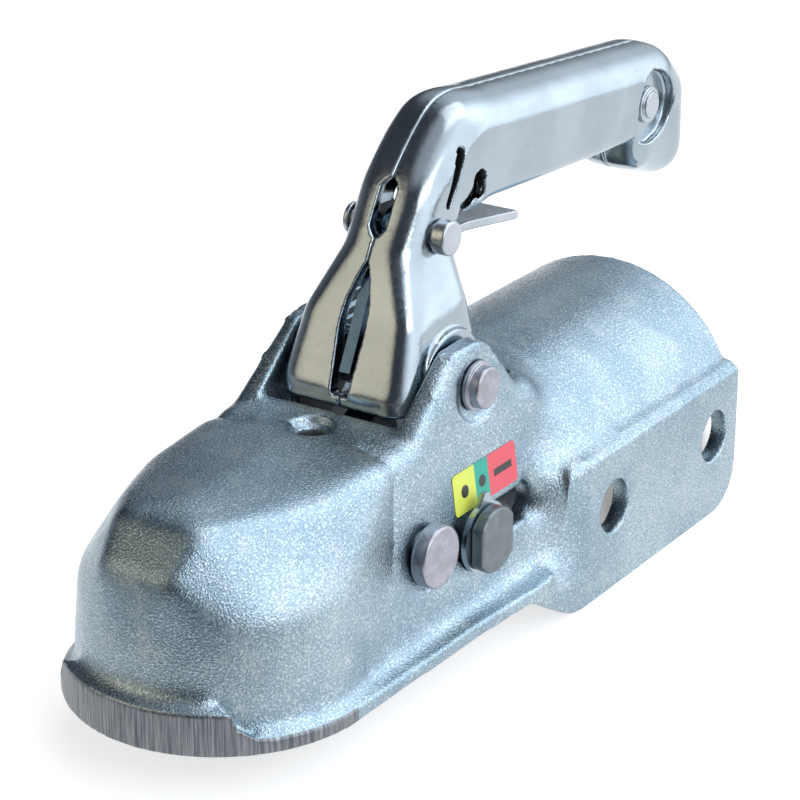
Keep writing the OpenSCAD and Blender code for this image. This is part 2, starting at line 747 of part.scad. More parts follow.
module pointer_washer() {
    tip = 11.6;
    color("silver") difference() {
        union() {
            disc_y(ind_x, slot_z, 9, washer_y, washer_y + 1.4);
            plate_y(washer_y, washer_y + 1.4)
                polygon([[ind_x - 7, slot_z + 3], [ind_x - 0.8, slot_z + tip],
                    [ind_x + 0.8, slot_z + tip], [ind_x + 7, slot_z + 3]]);
        }
        disc_y(ind_x, slot_z, ind_d / 2, -50, 50);
    }
}

module indicator_ring() {
    color("dimgray") ring_y(ind_x, slot_z, 7.4, ind_d / 2, -washer_y - 1.6, -washer_y);
}

// The main spring, as a helix of short round links
module main_spring() {
    a = pocket_x - 0.2;
    b = seat_x;
    r = (spring_d - spring_wire) / 2;
    color("dimgray") for (i = [0 : spring_turns])
        translate([b + spring_wire / 2 + (a - b - spring_wire) * i / spring_turns, 0, spring_z])
            rotate([0, 90, 0]) rotate_extrude() translate([r, 0]) circle(spring_wire / 2, $fn = 16);
}

module spring_rod() {
    color("silver") {
        translate([seat_x - 3.4, 0, spring_z]) rotate([0, 90, 0])
            cylinder(d = spring_d - 2 * spring_wire - 1.2, h = slider_back + 3 - seat_x + 3.4);
        translate([seat_x - 5.4, 0, spring_z]) rotate([0, 90, 0]) cylinder(d = spring_d, h = 2);
    }
}

// The cross plate that the main spring bears on
module spring_seat() {
    low = -rim_drop;
    high = 7;
    color("silver") difference() {
        bar_x(seat_x - 3.4, seat_x) hollow_2d(low, high);
        translate([seat_x - 10, 0, spring_z]) rotate([0, 90, 0])
            cylinder(d = spring_d - 2 * spring_wire - 1.2, h = 20);
    }
}

// The sticker of three fields above the slot
module status_label() {
    low = slot_z + 6.6;
    high = low + 10.4;
    mid_z = (low + high) / 2;
    color("gold") translate([0, wall_y(mid_z) + 0.06, mid_z]) rotate([draft, 0, 0])
        translate([ind_x - 20.6, 0, -(high - low) / 2]) cube([28, 0.2, high - low]);
}

housing();
lever_pivot_pin();
pivot_ring();
pivot_spacer();
handle_shell_left();
handle_shell_right();
end_rivet();
link_pin();
catch_pin();
catch_spring();
latch_trigger();
lock_blade();
jaw_bolt();
jaw_nut();
jaw_bush();
ball_jaw();
slider();
pull_link();
indicator_bolt();
pointer_washer();
indicator_ring();
main_spring();
spring_rod();
spring_seat();
status_label();
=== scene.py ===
"""Looks of the trailer coupling head: a zinc-plated casting with a pressed steel lever.

The row frame has its origin at the centre of the towing ball, +X to the nose, +Y to the side with
the indicator and +Z up. Lengths are written in millimetres and turned into metres by MM.
"""

import math

import bmesh
import bpy
import numpy as np
from mathutils import Matrix, Vector


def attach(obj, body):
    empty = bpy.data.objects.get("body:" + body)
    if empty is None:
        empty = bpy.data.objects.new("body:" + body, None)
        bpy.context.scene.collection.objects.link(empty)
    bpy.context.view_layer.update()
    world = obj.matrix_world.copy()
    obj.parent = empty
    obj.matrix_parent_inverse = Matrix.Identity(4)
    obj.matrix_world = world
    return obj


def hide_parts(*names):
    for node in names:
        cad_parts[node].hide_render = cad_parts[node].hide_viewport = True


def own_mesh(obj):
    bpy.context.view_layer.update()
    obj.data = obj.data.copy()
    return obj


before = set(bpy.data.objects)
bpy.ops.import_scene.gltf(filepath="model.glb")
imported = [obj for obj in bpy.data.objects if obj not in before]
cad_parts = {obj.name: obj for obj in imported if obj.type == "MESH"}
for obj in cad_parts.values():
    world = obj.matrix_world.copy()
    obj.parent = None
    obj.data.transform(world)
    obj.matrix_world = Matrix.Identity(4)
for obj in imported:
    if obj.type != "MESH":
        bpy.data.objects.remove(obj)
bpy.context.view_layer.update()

MM = 0.001
TAU = 2 * math.pi
SCENE = bpy.context.scene

# ---------------------------------------------------------------- camera
# Found from the straight edges, the round rim and the bolt spacing in the photograph
CAMERA_AZ, CAMERA_EL = math.radians(123.801), math.radians(22.544)
CAMERA_PLACE = Vector((448.182, 348.916, 293.629)) * MM
CAMERA_LENS = 123.572


def add_camera():
    back = Vector((math.sin(CAMERA_AZ) * math.cos(CAMERA_EL),
                   -math.cos(CAMERA_AZ) * math.cos(CAMERA_EL), math.sin(CAMERA_EL)))
    right = Vector((math.cos(CAMERA_AZ), math.sin(CAMERA_AZ), 0))
    data = bpy.data.cameras.new("camera")
    data.sensor_width, data.lens = 36, CAMERA_LENS
    data.clip_start, data.clip_end = 0.02, 50
    camera = bpy.data.objects.new("camera", data)
    SCENE.collection.objects.link(camera)
    place = Matrix((right, back.cross(right), back)).transposed().to_4x4()
    place.translation = CAMERA_PLACE
    camera.matrix_world = place
    SCENE.camera = camera


add_camera()


# ---------------------------------------------------------------- node helpers
def add_node(tree, kind, inputs=None, **settings):
    """A shader node with its settings; an input that is a socket gets a link, a number is set."""
    node = tree.nodes.new(kind)
    for key, value in settings.items():
        setattr(node, key, value)
    for key, value in (inputs or {}).items():
        socket = node.inputs[key]
        if isinstance(value, bpy.types.NodeSocket):
            tree.links.new(value, socket)
        else:
            socket.default_value = value
    return node


def calc(tree, operation, a, b=0.0):
    return add_node(tree, "ShaderNodeMath", {0: a, 1: b}, operation=operation).outputs[0]


def ramp(tree, value, low, high, to_low=0.0, to_high=1.0):
    """A smooth step from to_low to to_high as the value goes from low to high."""
    inputs = {"Value": value, "From Min": low, "From Max": high, "To Min": to_low, "To Max": to_high}
    return add_node(tree, "ShaderNodeMapRange", inputs, interpolation_type="SMOOTHSTEP").outputs["Result"]


def noise(tree, vector, size_mm, detail=2.0, rough=0.5):
    inputs = {"Vector": vector, "Scale": 1 / (size_mm * MM), "Detail": detail, "Roughness": rough}
    return add_node(tree, "ShaderNodeTexNoise", inputs).outputs[0]


def mix_colour(tree, factor, a, b):
    a, b = (c if isinstance(c, bpy.types.NodeSocket) else (*c, 1) for c in (a, b))
    return add_node(tree, "ShaderNodeMix", {0: factor, 6: a, 7: b}, data_type="RGBA").outputs[2]


def vector_math(tree, operation, a, b):
    return add_node(tree, "ShaderNodeVectorMath", {0: a, 1: b}, operation=operation).outputs[0]


def new_material(name, roughness=0.4, metallic=1.0):
    material = bpy.data.materials.new(name)
    material.use_nodes = True
    tree = material.node_tree
    shader = tree.nodes["Principled BSDF"]
    shader.inputs["Metallic"].default_value = metallic
    shader.inputs["Roughness"].default_value = roughness
    place = add_node(tree, "ShaderNodeTexCoord").outputs["Object"]
    return material, tree, shader, place


def bump(tree, height, depth_mm, strength=1.0, below=None):
    inputs = {"Height": height, "Distance": depth_mm * MM, "Strength": strength}
    if below is not None:
        inputs["Normal"] = below
    return add_node(tree, "ShaderNodeBump", inputs).outputs[0]


# ---------------------------------------------------------------- materials
# The machined band round the nose: its radius and its upper edge, in millimetres
BAND_R, BAND_TOP, BAND_SOFT = 37.3, -0.6, 0.5


def cast_zinc():
    """Zinc-plated casting: bluish silver with fine grain, machined round the nose."""
    material, tree, shader, place = new_material("zinc_cast")
    axes = add_node(tree, "ShaderNodeSeparateXYZ", {0: place})
    x, y, z = axes.outputs[0], axes.outputs[1], axes.outputs[2]
    reach = calc(tree, "ADD", calc(tree, "MULTIPLY", x, x), calc(tree, "MULTIPLY", y, y))
    reach = calc(tree, "SQRT", reach)
    nose = ramp(tree, reach, BAND_R * MM, (BAND_R + BAND_SOFT) * MM)
    nose = calc(tree, "MULTIPLY", nose, ramp(tree, x, 0.0, 1 * MM))
    nose = calc(tree, "MULTIPLY", nose, ramp(tree, z, BAND_TOP * MM, (BAND_TOP - 0.6) * MM))
    cloud = noise(tree, place, 26, 3)
    patch = noise(tree, place, 7, 3)
    grain = noise(tree, place, 0.5, 2, 0.6)
    speck = noise(tree, place, 0.5, 2)
    pits = noise(tree, place, 1.7, 2)
    colour = mix_colour(tree, ramp(tree, cloud, 0.35, 0.66), (0.26, 0.36, 0.43), (0.38, 0.48, 0.54))
    colour = mix_colour(tree, ramp(tree, patch, 0.52, 0.74, 0, 0.5), colour, (0.50, 0.56, 0.58))
    colour = mix_colour(tree, ramp(tree, speck, 0.58, 0.36, 0, 0.55), colour, (0.18, 0.24, 0.29))
    colour = mix_colour(tree, ramp(tree, speck, 0.54, 0.68, 0, 0.4), colour, (0.78, 0.86, 0.90))
    # Upright tool marks: fine round the band, long down it
    along = calc(tree, "MULTIPLY", calc(tree, "ARCTAN2", y, x), 38 * MM)
    down = calc(tree, "MULTIPLY", z, 0.035)
    unrolled = add_node(tree, "ShaderNodeCombineXYZ", {0: along, 1: 0.0, 2: down}).outputs[0]
    striae = noise(tree, unrolled, 0.75, 3, 0.7)
    band = mix_colour(tree, ramp(tree, striae, 0.35, 0.68), (0.27, 0.28, 0.29), (0.10, 0.11, 0.13))
    colour = mix_colour(tree, nose, colour, band)
    tree.links.new(colour, shader.inputs["Base Color"])
    rough = ramp(tree, patch, 0.3, 0.75, 0.20, 0.30)
    rough = add_node(tree, "ShaderNodeMix", {0: nose, 2: rough, 3: 0.36}).outputs[0]
    tree.links.new(rough, shader.inputs["Roughness"])
    height = calc(tree, "ADD", grain, calc(tree, "MULTIPLY", pits, 0.08))
    height = add_node(tree, "ShaderNodeMix", {0: nose, 2: height, 3: calc(tree, "MULTIPLY", striae, 0.8)})
    tree.links.new(bump(tree, height.outputs[0], 0.24, 0.8), shader.inputs["Normal"])
    return material


def pressed_zinc(name, tone, roughness, grain_mm):
    """Satin pressed steel: fine orange peel, faint clouds and scuffs."""
    material, tree, shader, place = new_material(name)
    cloud = noise(tree, place, 18, 3)
    fine = noise(tree, place, grain_mm, 2)
    scuff = noise(tree, vector_math(tree, "MULTIPLY", place, (0.12, 1, 1)), 1.3, 4, 0.7)
    dark = tuple(0.84 * c for c in tone)
    colour = mix_colour(tree, ramp(tree, cloud, 0.3, 0.7), dark, tone)
    colour = mix_colour(tree, ramp(tree, scuff, 0.62, 0.78, 0, 0.35), colour, tuple(0.6 * c for c in tone))
    tree.links.new(colour, shader.inputs["Base Color"])
    tree.links.new(ramp(tree, scuff, 0.3, 0.75, *roughness), shader.inputs["Roughness"])
    wave = bump(tree, noise(tree, place, 14, 1), 1.0, 0.2)
    tree.links.new(bump(tree, fine, 0.03, 0.8, wave), shader.inputs["Normal"])
    return material


def turned_steel(name, tone, roughness=(0.25, 0.4), grain_mm=0.9, depth=0.05):
    """Plated bolt steel with a mottled, slightly worn face."""
    material, tree, shader, place = new_material(name)
    mottled = noise(tree, place, 3.2, 4, 0.6)
    fine = noise(tree, place, grain_mm, 3)
    colour = mix_colour(tree, ramp(tree, mottled, 0.35, 0.7), tuple(0.72 * c for c in tone), tone)
    tree.links.new(colour, shader.inputs["Base Color"])
    tree.links.new(ramp(tree, mottled, 0.3, 0.7, *roughness), shader.inputs["Roughness"])
    tree.links.new(bump(tree, fine, depth, 0.8), shader.inputs["Normal"])
    return material


def film(name, tone):
    """Printed film of the label: one colour with a fine print grain."""
    material, tree, shader, place = new_material(name, 0.34, 0.0)
    specks = noise(tree, place, 0.5, 2)
    colour = mix_colour(tree, ramp(tree, specks, 0.35, 0.7, 0, 0.25), tone, tuple(0.8 * c for c in tone))
    tree.links.new(colour, shader.inputs["Base Color"])
    tree.links.new(bump(tree, noise(tree, place, 4, 2), 0.05, 0.5), shader.inputs["Normal"])
    return material


CAST = cast_zinc()
PRESSED = pressed_zinc("zinc_pressed", (0.40, 0.46, 0.505), (0.12, 0.24), 1.1)
TAB = pressed_zinc("zinc_tab", (0.50, 0.54, 0.58), (0.24, 0.36), 0.8)
# A dark painted shade for the hollows and holes of the casting
CAST_PAINTED_SHADE = turned_steel("cast_painted_shade", (0.13, 0.15, 0.17), (0.5, 0.7), 0.8, 0.2)
# A darker painted shade for the hollow and the side openings of the lever halves
SHADE = turned_steel("pressed_painted_shade", (0.07, 0.08, 0.09), (0.4, 0.6))
BOLT = turned_steel("bolt_steel", (0.44, 0.44, 0.49))
DULL = turned_steel("dull_steel", (0.20, 0.23, 0.24), (0.3, 0.45))
DARK = turned_steel("dark_steel", (0.16, 0.18, 0.22), (0.22, 0.38))
BLUED = turned_steel("blued_steel", (0.10, 0.17, 0.26), (0.14, 0.28), 1.4, 0.06)
IRON = turned_steel("jaw_iron", (0.30, 0.31, 0.33), (0.4, 0.6), 1.4, 0.12)
BRONZE = turned_steel("bush_bronze", (0.62, 0.45, 0.26), (0.3, 0.45))
YELLOW = film("label_yellow", (0.74, 0.80, 0.12))
GREEN = film("label_green", (0.02, 0.40, 0.30))
RED = film("label_red", (0.80, 0.10, 0.13))
INK = film("label_ink", (0.03, 0.03, 0.03))


# ---------------------------------------------------------------- mesh helpers
def add_piece(name, vertices, faces, material, body, replaced=(), smooth=True):
    mesh = bpy.data.meshes.new(name)
    mesh.from_pydata([tuple(v) for v in vertices], [], faces)
    mesh.validate()
    return add_object(name, mesh, material, body, replaced, smooth)


def add_object(name, mesh, material, body, replaced=(), smooth=True):
    obj = bpy.data.objects.new(name, mesh)
    SCENE.collection.objects.link(obj)
    mesh.materials.clear()
    mesh.materials.append(material)
    if smooth:
        mesh.polygons.foreach_set("use_smooth", [True] * len(mesh.polygons))
    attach(obj, body)
    if replaced:
        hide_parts(*replaced)
    return obj


def add_bevel(obj, width_mm, segments=2, angle=35):
    modifier = obj.modifiers.new("edges", "BEVEL")
    modifier.width, modifier.segments = width_mm * MM, segments
    modifier.limit_method, modifier.angle_limit = "ANGLE", math.radians(angle)


def relax(places, edges, moving, rounds):
    """Laplacian smoothing of the moving points; the others stay and hold their neighbours."""
    count = len(places)
    edges = edges[moving[edges].any(1)]
    first, second = edges.T
    degree = np.maximum(np.bincount(edges.ravel(), minlength=count), 1)[:, None]
    for _ in range(rounds):
        total = [np.bincount(first, places[second, i], count)
                 + np.bincount(second, places[first, i], count) for i in range(3)]
        mean = np.stack(total, 1) / degree
        places = np.where(moving[:, None], 0.5 * places + 0.5 * mean, places)
    return places


def sharp_points(mesh, edges, angle, rings):
    """Points on an edge sharper than the angle, and the points within some rings of them."""
    work = bmesh.new()
    work.from_mesh(mesh)
    sharp = np.zeros(len(mesh.vertices), bool)
    for edge in work.edges:
        if edge.calc_face_angle(0) > angle:
            sharp[edge.verts[0].index] = sharp[edge.verts[1].index] = True
    work.free()
    first, second = edges.T
    for _ in range(rings):
        spread = sharp.copy()
        spread[second[sharp[first]]] = True
        spread[first[sharp[second]]] = True
        sharp = spread
    return sharp


def read_points(elements, key):
    """The places of a mesh's vertices or the centres of its faces, in millimetres."""
    flat = np.empty(3 * len(elements))
    elements.foreach_get(key, flat)
    return flat.reshape(-1, 3) / MM


def evaluated(obj):
    """A new mesh of the object with its modifiers applied."""
    graph = bpy.context.evaluated_depsgraph_get()
    return bpy.data.meshes.new_from_object(obj.evaluated_get(graph))


def grown(node, name, voxel_mm, rounds, triangles, material, body,
          keep=None, soft=(), shape=None, inner=None):
    """A smooth copy of a CAD node, with the soft edges of a casting or a pressing.

    shape(places) bends the points, in millimetres. rounds then smooths all of them,
    keep = (angle, rings, rounds) all but the sharp edges, and soft = (test, rounds) a region.
    inner = (test, material) gives the faces of a region a material of their own, here a dark painted shade."""
    obj = bpy.data.objects.new(name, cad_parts[node].data.copy())
    SCENE.collection.objects.link(obj)
    remesh = obj.modifiers.new("remesh", "REMESH")
    remesh.mode, remesh.voxel_size = "VOXEL", voxel_mm * MM
    mesh = evaluated(obj)
    obj.modifiers.clear()
    places = read_points(mesh.vertices, "co")
    edges = np.empty(2 * len(mesh.edges), int)
    mesh.edges.foreach_get("vertices", edges)
    edges = edges.reshape(-1, 2)
    if shape:
        places = shape(places)
    places = relax(places, edges, np.ones(len(places), bool), rounds)
    if keep:
        angle, rings, more = keep
        sharp = sharp_points(mesh, edges, math.radians(angle), rings)
        places = relax(places, edges, ~sharp, more)
    for test, more in soft:
        places = relax(places, edges, test(places), more)
    mesh.vertices.foreach_set("co", (places * MM).ravel())
    mesh.update()
    obj.data = mesh
    # The remeshed faces have four corners each
    many = 2 * len(mesh.polygons)
    if many > triangles:
        thin = obj.modifiers.new("thin", "DECIMATE")
        thin.ratio = triangles / many
        mesh = evaluated(obj)
    bpy.data.objects.remove(obj)
    mesh.name = name
    add_object(name, mesh, material, body, (node,))
    # The faces in the region get the dark painted shade
    if inner:
        test, dark = inner
        mesh.materials.append(dark)
        chosen = test(read_points(mesh.polygons, "center")).astype(int)
        mesh.polygons.foreach_set("material_index", chosen)


def rounded_profile(profile, radius, steps=4):
    """Rounds the corners of an open profile of (radius, y) points, both in millimetres."""
    points = [Vector(p) for p in profile]
    out = [points[0]]
    for before, here, after in zip(points, points[1:], points[2:]):
        a, b = before - here, after - here
        r = min(radius, 0.42 * a.length, 0.42 * b.length)
        if r < 1e-4:
            out.append(here)
            continue
        start, end = here + a.normalized() * r, here + b.normalized() * r
        # A point just outside each rounding keeps the flat faces flat when shaded
        if a.length > 3 * r:
            out.append(start + a.normalized() * 0.3 * r)
        for i in range(steps + 1):
            t = i / steps
            out.append(start * (1 - t) ** 2 + here * 2 * t * (1 - t) + end * t * t)
        if b.length > 3 * r:
            out.append(end + b.normalized() * 0.3 * r)
    out.append(points[-1])
    return out


def turned(name, x, z, profile, material, body, replaced, slot, radius, segments=96, squeeze=None):
    """A turned piece about an axis along Y through (x, z). The profile starts and ends on the axis
    or closes on itself, and its corners get the radius. squeeze(angle, r, y) may change a point's r."""
    ring = rounded_profile(profile, radius)
    closed = profile[0] == profile[-1]
    if closed:
        ring = ring[:-1]
    vertices, faces = [], []
    for p in ring:
        for i in range(segments):
            angle = TAU * i / segments
            r = squeeze(angle, p.x, p.y) if squeeze else p.x
            vertices.append(Vector((x + r * math.cos(angle), p.y, z + r * math.sin(angle))) * MM)
    rows = len(ring)
    for j in range(rows if closed else rows - 1):
        k = (j + 1) % rows
        for i in range(segments):
            m = (i + 1) % segments
            faces.append((j * segments + i, j * segments + m, k * segments + m, k * segments + i))
    weld(add_piece(name, vertices, faces, material, body, replaced))


def weld(obj):
    """Welds doubled points and makes the faces look outward."""
    work = bmesh.new()
    work.from_mesh(obj.data)
    bmesh.ops.remove_doubles(work, verts=work.verts, dist=1e-7)
    bmesh.ops.recalc_face_normals(work, faces=work.faces)
    work.to_mesh(obj.data)
    work.free()


def tube(name, path, radius_mm, material, body, replaced, sides=12):
    """A round wire along a path of points in millimetres."""
    points = [Vector(p) for p in path]
    vertices, faces = [], []
    side = None
    for i, p in enumerate(points):
        along = (points[min(i + 1, len(points) - 1)] - points[max(i - 1, 0)]).normalized()
        if side is None:
            side = along.orthogonal().normalized()
        side = (side - along * side.dot(along)).normalized()
        up = along.cross(side)
        for k in range(sides):
            angle = TAU * k / sides
            vertices.append((p + (side * math.cos(angle) + up * math.sin(angle)) * radius_mm) * MM)
    for i in range(len(points) - 1):
        for k in range(sides):
            m = (k + 1) % sides
            faces.append((i * sides + k, i * sides + m, (i + 1) * sides + m, (i + 1) * sides + k))
    faces.append(tuple(range(sides))[::-1])
    faces.append(tuple((len(points) - 1) * sides + k for k in range(sides)))
    return add_piece(name, vertices, faces, material, body, replaced)


# ---------------------------------------------------------------- sizes repeated from the CAD, mm
# Axes in the side view, as (x, z)
PIVOT = (-67.4, 45.0)
CATCH = (-72.0, 78.7)
JAW = (-38.6, 13.2)
INDICATOR = (-59.8, 10.0)
RIVET = (-177.8, 85.0)
# The housing
EAR_HALF = 25.9
DRAFT = math.radians(8)
WALL = 6.0
ROOF = 40.2
TUBE_R = 35.2
PLATE_HALF = 40.2
CAVITY_REAR, CAVITY_FRONT = -103.2, -8
SOCKET_R = 25.7
LOCK_X, LOCK_R = -35.2, 3.6
# The heads of the indicator bolt and of the grip's rivet, and the sunk face under the latter
HEAD_R, HEAD_FLAT = 8.3, 6.9
FACE = 12.6 - 3.4
# The narrow slot and the keyhole in the lever's sides, by their middle lines and radii
SIDE_SLOT, SIDE_SLOT_R = ((-82.9, 96.6), (-76.9, 84.8)), 1.0
KEY, KEY_R = (-90.2, 87.9), 2.7
KEY_SLOT, KEY_SLOT_R = (KEY, (-84.5, 82.6)), 1.2


def wall_y(z):
    """The outside of the leaning wall at a height."""
    return EAR_HALF + (PIVOT[1] - z) * math.tan(DRAFT)


JAW_SEAT = wall_y(JAW[1]) + 0.4
WASHER_Y = wall_y(INDICATOR[1] - 9.2) + 0.3

# ---------------------------------------------------------------- castings and pressings
# A face this near to a surface of the CAD, in millimetres, counts as a part of it
SLACK = 0.4
# A point inside the elbow of the lever, as (x, z), and how far the elbow reaches from it
ELBOW, ELBOW_REACH = (-91, 80), 34


def eased(t):
    """A smooth step from 0 to 1."""
    t = np.clip(t, 0, 1)
    return t * t * (3 - 2 * t)


def housing_painted_shade_faces(p):
    """Faces of the hollow, of the channel and of the lock hole, which lie in the dark and get a dark painted
    shade.
    """
    x, y, z = p.T
    rear = x <= CAVITY_REAR + 0.5
    hollow = (x > CAVITY_REAR) & (x < CAVITY_FRONT)
    hollow &= (np.abs(y) < wall_y(z) - WALL + SLACK) & (z < ROOF - WALL + SLACK)
    hollow &= (x > -80) | (np.abs(y) < 18) | (z < 28)
    channel = rear & (np.hypot(y, z) < TUBE_R + SLACK)
    low = rear & (np.abs(y) < TUBE_R + SLACK) & (z < 0)
    lock = (np.hypot(x - LOCK_X, y) < LOCK_R) & (z > 20)
    socket = np.sqrt(x * x + y * y + z * z) < SOCKET_R
    return hollow | channel | low | lock | socket


def dome(p):
    """The dome's outside above its band."""
    x, y, z = p.T
    return (x > -16) & (z > 2) & (np.sqrt(x * x + y * y + z * z) > 27.5)


def plate_front(p):
    """The valley between each side plate and the wall."""
    x, y, z = p.T
    return (np.abs(x + 90) < 8) & (np.abs(y) > 27.5) & (z > -13) & (z < 20)


def softer_step(p):
    """The wall sweeps out to the side plates, where the casting tool leaves no sharp step."""
    x, y, z = p.T
    wall = wall_y(z)
    sweep = wall + (PLATE_HALF - wall) * eased((-85.5 - x) / 8)
    share = np.interp(z, [-13, -7, 12, 18], [0, 1, 1, 0]) * np.interp(x, [-98, -95, -84, -82], [0, 1, 1, 0])
    outside = np.abs(y) > wall - WALL + 2.5
    out = p.copy()
    out[:, 1] = np.where(outside, np.sign(y) * (np.abs(y) * (1 - share) + sweep * share), y)
    return out


def neck_top(p):
    """Where the ears and the roof run into the arch."""
    x, y, z = p.T
    return (x < -78) & (x > -118) & (np.abs(y) > 20.5) & (z > 17)


def near_line(x, z, line):
    """How far points are from a stretch of line in the side view."""
    (ax, az), (bx, bz) = line
    t = np.clip(((x - ax) * (bx - ax) + (z - az) * (bz - az)) / ((bx - ax) ** 2 + (bz - az) ** 2), 0, 1)
    return np.hypot(x - ax - t * (bx - ax), z - az - t * (bz - az))


def lever_painted_shade_faces(p):
    """Faces of the hollow between the two pressed halves and of the openings in their sides, which get a
    dark painted shade.
    """
    x, y, z = p.T
    front = np.interp(z, [45, 59, 75, 91.5, 102.2], [17.3, 11.8, 4.4, -5.0, -21.0]) + PIVOT[0]
    half = np.interp(z, [50, 54, 60, 65], [16.9, 14.2, 11.4, 8.6])
    foot = (x < front + SLACK) & (x > PIVOT[0] - 17) & (np.abs(y) < half + 0.2) & (z < 81.5)
    grip = (x < front + SLACK) & (x > PIVOT[0] - 96.4) & (np.abs(y) < 8.6) & (z > 81)
    grip &= (z > 87.8 + 0.06 * (x + 95)) & (z < 102.5 + 0.09 * (x + 88))
    slots = (near_line(x, z, SIDE_SLOT) < SIDE_SLOT_R) | (near_line(x, z, KEY_SLOT) < KEY_SLOT_R)
    openings = (np.abs(y) > 6) & (slots | (np.hypot(x - KEY[0], z - KEY[1]) < KEY_R))
    return foot | grip | openings


def deeper_grip(p):
    """The pressed sides of the grip reach further down than its middle, with a tighter corner."""
    x, y, z = p.T
    behind = PIVOT[0] - x
    axis = np.interp(behind, [12.8, 28, 122], [87.0, 92.4, 85.0])
    along = np.interp(behind, [13, 24, 60, 100, 112], [0.0, 1.0, 0.85, 0.6, 0.0])
    down = eased((axis - z) / 8)
    side = eased((np.abs(y) - 5.6) / 3.2)
    out = p.copy()
    out[:, 2] = z - 3.6 * along * down * side
    out[:, 1] = y + np.sign(y) * along * down * side * np.clip(12.4 - np.abs(y), 0, 1.6)
    return rounder_elbow(out)


def rounder_elbow(p):
    """Evens out the side view's outline, taken by angle about a point inside the elbow."""
    across, up = p[:, 0] - ELBOW[0], p[:, 2] - ELBOW[1]
    angle, reach = np.degrees(np.arctan2(up, across)), np.hypot(across, up)
    # All in degrees: the angles, their step, and the width and deviation of the bell that evens them
    first, last, step, width, deviation = -20, 130, 2, 24, 11
    centres = np.arange(first, last + 1, step)
    index = np.round((angle - first) / step).astype(int)
    held = (index >= 0) & (index < len(centres)) & (reach < ELBOW_REACH)
    outline = np.zeros(len(centres))
    np.maximum.at(outline, index[held], reach[held])
    outline = np.interp(centres, centres[outline > 0], outline[outline > 0])
    bell = np.exp(-0.5 * (np.arange(-width, width + 1, step) / deviation) ** 2)
    even = np.convolve(np.pad(outline, width // step, mode="edge"), bell / bell.sum(), mode="valid")
    change = (even - outline) * np.interp(centres, [5, 25, 95, 115], [0, 1, 1, 0])
    # The hollow keeps its place, and only the skin outside it moves
    share = np.clip((reach / np.interp(angle, centres, outline) - 0.55) / 0.35, 0, 1)
    scale = 1 + np.where(held, np.interp(angle, centres, change) * share / np.maximum(reach, 1), 0)
    out = p.copy()
    out[:, 0], out[:, 2] = across * scale + ELBOW[0], up * scale + ELBOW[1]
    return out


# The hollow, the channel, the lock hole and the ball socket of the casting get a dark painted shade
grown("housing", "housing_cast", 0.62, 5, 195000, CAST, "housing", keep=(24, 1, 40),
      soft=((dome, 6), (plate_front, 260), (neck_top, 120)), shape=softer_step,
      inner=(housing_painted_shade_faces, CAST_PAINTED_SHADE))
# The hollow and the side openings of each lever half get a dark painted shade
for half in ("left", "right"):
    grown("handle_shell_" + half, "lever_half_" + half, 0.42, 2, 190000, PRESSED, "lever",
          keep=(22, 1, 60), shape=deeper_grip, inner=(lever_painted_shade_faces, SHADE))
grown("latch_trigger", "finger_tab", 0.3, 4, 40000, TAB, "catch")
grown("ball_jaw", "jaw_cast", 0.6, 6, 40000, IRON, "jaw")
grown("slider", "slider_cast", 0.6, 5, 40000, IRON, "slider")

# ---------------------------------------------------------------- turned pieces
def two_flats(angle, r, y):
    """The head of the indicator bolt has a flat in front and behind."""
    if y < WASHER_Y + 1.3:
        return r
    return r * min(1, HEAD_FLAT / (HEAD_R * max(abs(math.cos(angle)), 1e-6)))


turned("pivot_pin", *PIVOT,
       [(0, -28.3), (5.25, -28.3), (5.25, 25.4), (6.15, 25.4), (6.15, 26.7), (5.25, 26.7), (5.25, 29.5),
        (0, 29.5)],
       BOLT, "housing", ("lever_pivot_pin",), "bolt_steel", 0.7)
turned("pivot_far_ring", *PIVOT,
       [(5.25, -26.6), (7.65, -26.6), (7.65, -25.4), (5.25, -25.4), (5.25, -26.6)],
       DARK, "housing", ("pivot_ring",), "dark_steel", 0.2)
turned("grip_rivet", *RIVET,
       [(0, -FACE - 2), (3.6, -FACE - 2), (3.6, -FACE - 1.2), (5, -FACE - 1.2), (5, -FACE), (3, -FACE),
        (3, FACE), (5, FACE), (5, FACE + 1.2), (3.6, FACE + 1.2), (3.6, FACE + 2), (0, FACE + 2)],
       TAB, "lever", ("end_rivet",), "zinc_pressed", 0.35)
turned("catch_rivet", *CATCH,
       [(0, -13.6), (4, -13.6), (4, -12.1), (2.8, -12.1), (2.8, 11.9), (4.3, 11.9), (4.3, 15.8), (0, 15.8)],
       TAB, "lever", ("catch_pin",), "zinc_pressed", 0.7)
turned("jaw_bolt_turned", *JAW,
       [(0, -JAW_SEAT - 7), (4.75, -JAW_SEAT - 7), (4.75, JAW_SEAT), (7.7, JAW_SEAT), (7.7, JAW_SEAT + 4.3),
        (0, JAW_SEAT + 4.3)],
       BOLT, "housing", ("jaw_bolt",), "bolt_steel", 0.9)
turned("indicator_bolt_turned", *INDICATOR,
       [(0, -WASHER_Y - 2.6), (4, -WASHER_Y - 2.6), (4, WASHER_Y + 1.4), (HEAD_R, WASHER_Y + 1.4),
        (HEAD_R, WASHER_Y + 5), (0, WASHER_Y + 5)],
       DULL, "slider", ("indicator_bolt",), "bolt_steel", 0.9, squeeze=two_flats)

# The plain pieces stay as the CAD has them, with their edges broken
for name, material in (("pull_link", DARK), ("lock_blade", BLUED), ("pivot_spacer", PRESSED),
                       ("link_pin", BOLT), ("jaw_nut", PRESSED), ("jaw_bush", BRONZE),
                       ("pointer_washer", PRESSED), ("indicator_ring", DARK), ("spring_rod", PRESSED),
                       ("spring_seat", PRESSED)):
    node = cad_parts[name]
    node.data.materials.clear()
    node.data.materials.append(material)
    add_bevel(node, 0.25)


